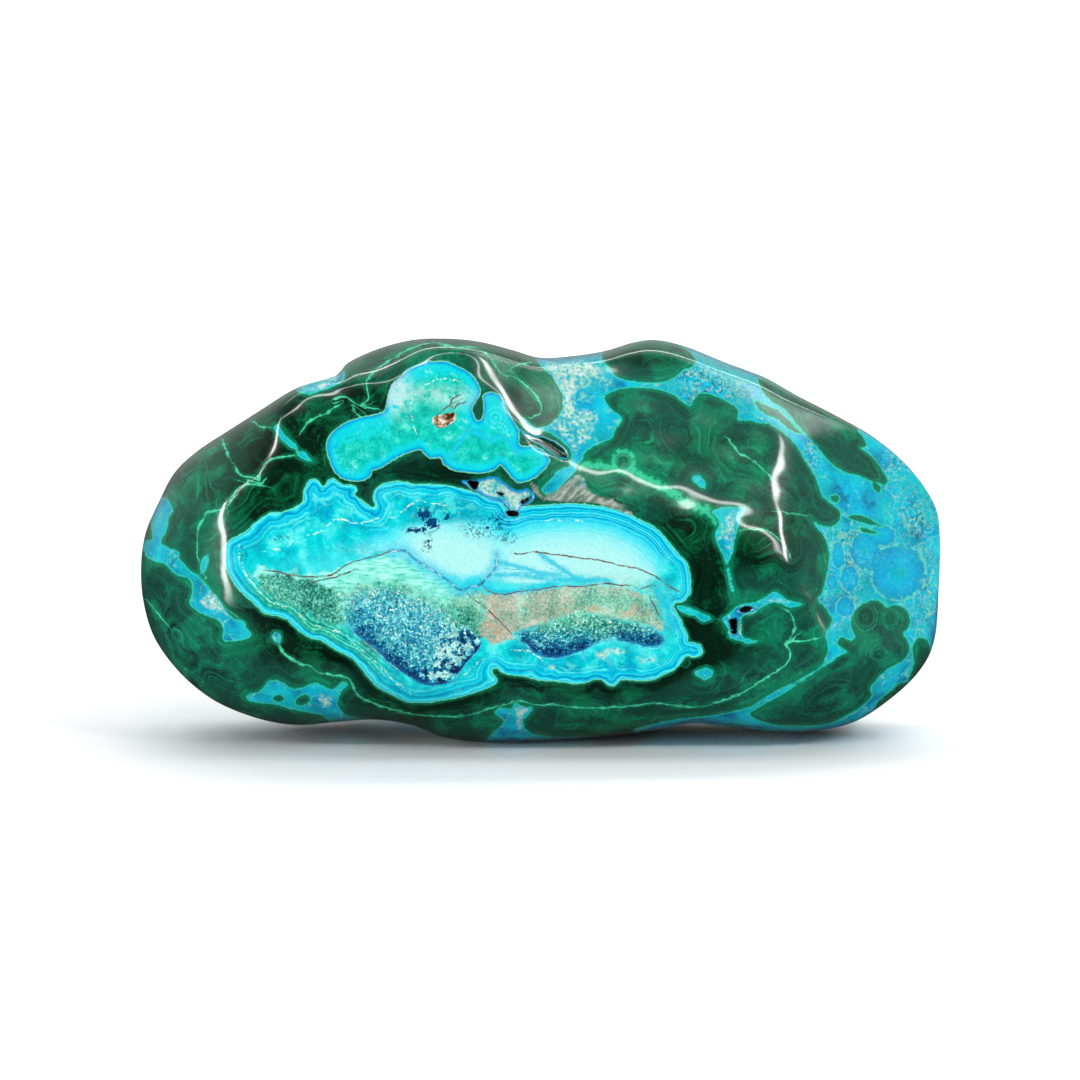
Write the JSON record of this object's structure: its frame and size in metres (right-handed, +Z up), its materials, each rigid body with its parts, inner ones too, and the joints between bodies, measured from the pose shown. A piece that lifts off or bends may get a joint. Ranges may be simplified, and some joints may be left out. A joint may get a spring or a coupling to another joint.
{
  "type": "polished chrysocolla and malachite specimen",
  "caption": "Polished free-form stone of blue-green chrysocolla with dark green banded malachite, standing on a small ground flat, for display or decoration.",
  "frame": {"origin": "middle of the bounding box's bottom face, on the plane of the flat that the stone stands on", "axes": "+Z up; the stone's length runs along X, with its flat-cut right end towards +X; the window face looks towards -Y"},
  "size_m": [0.12, 0.0474, 0.0604],
  "materials": {
    "chrysocolla_malachite": "polished"
  },
  "bodies": {
    "root": {"polished_stone": "chrysocolla_malachite"}
  },
  "joints": []
}
